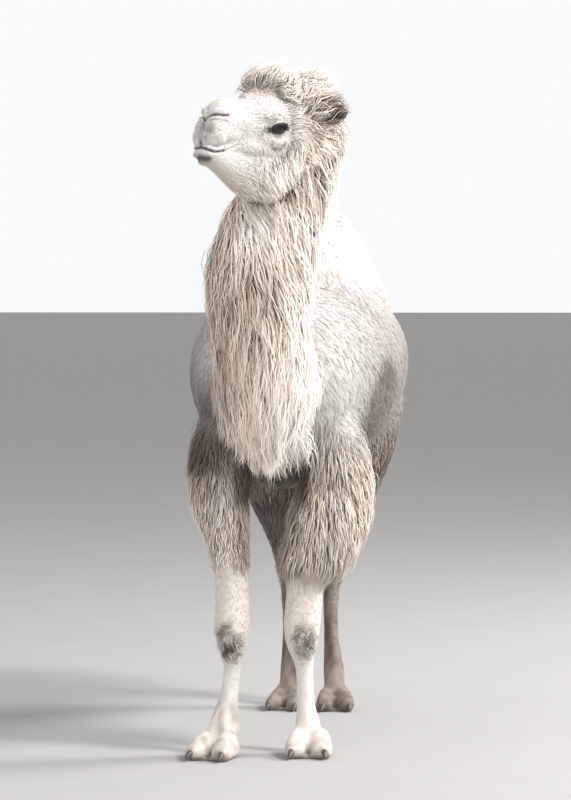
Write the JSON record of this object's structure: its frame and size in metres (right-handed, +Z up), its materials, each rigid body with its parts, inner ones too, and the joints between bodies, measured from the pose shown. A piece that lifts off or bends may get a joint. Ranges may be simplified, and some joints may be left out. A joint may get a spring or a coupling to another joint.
{
  "type": "bactrian camel",
  "caption": "Life-size standing Bactrian camel as a still model, head raised and turned to its right, with woolly neck, crown and forelegs.",
  "frame": {"origin": "middle of the bounding box, at floor level under the feet", "axes": "+Z up; the body faces -Y; the animal's left side is towards +X"},
  "size_m": [0.8052, 2.3134, 2.4042],
  "materials": {
    "long_wool": "long cream wool",
    "short_coat": "short cream-white coat",
    "brown_coat": "short brown coat",
    "eye": "wet and dark",
    "nail": "dull dark horn"
  },
  "bodies": {
    "root": {"head": "long_wool", "neck": "long_wool", "tail": "long_wool", "trunk": "short_coat", "hump_front": "short_coat", "hump_rear": "short_coat", "foreleg_left_upper": "long_wool", "foreleg_left_lower": "short_coat", "foreleg_left_foot": "short_coat", "foreleg_right_upper": "long_wool", "foreleg_right_lower": "short_coat", "foreleg_right_foot": "short_coat", "hindleg_left_upper": "brown_coat", "hindleg_left_lower": "brown_coat", "hindleg_left_foot": "brown_coat", "hindleg_right_upper": "brown_coat", "hindleg_right_lower": "brown_coat", "hindleg_right_foot": "brown_coat", "ear_left": "brown_coat", "ear_right": "brown_coat", "eye_left": "eye", "eye_right": "eye", "nail_foreleg_left_left": "nail", "nail_foreleg_left_right": "nail", "nail_foreleg_right_left": "nail", "nail_foreleg_right_right": "nail", "nail_hindleg_left_left": "nail", "nail_hindleg_left_right": "nail", "nail_hindleg_right_left": "nail", "nail_hindleg_right_right": "nail"}
  },
  "joints": []
}
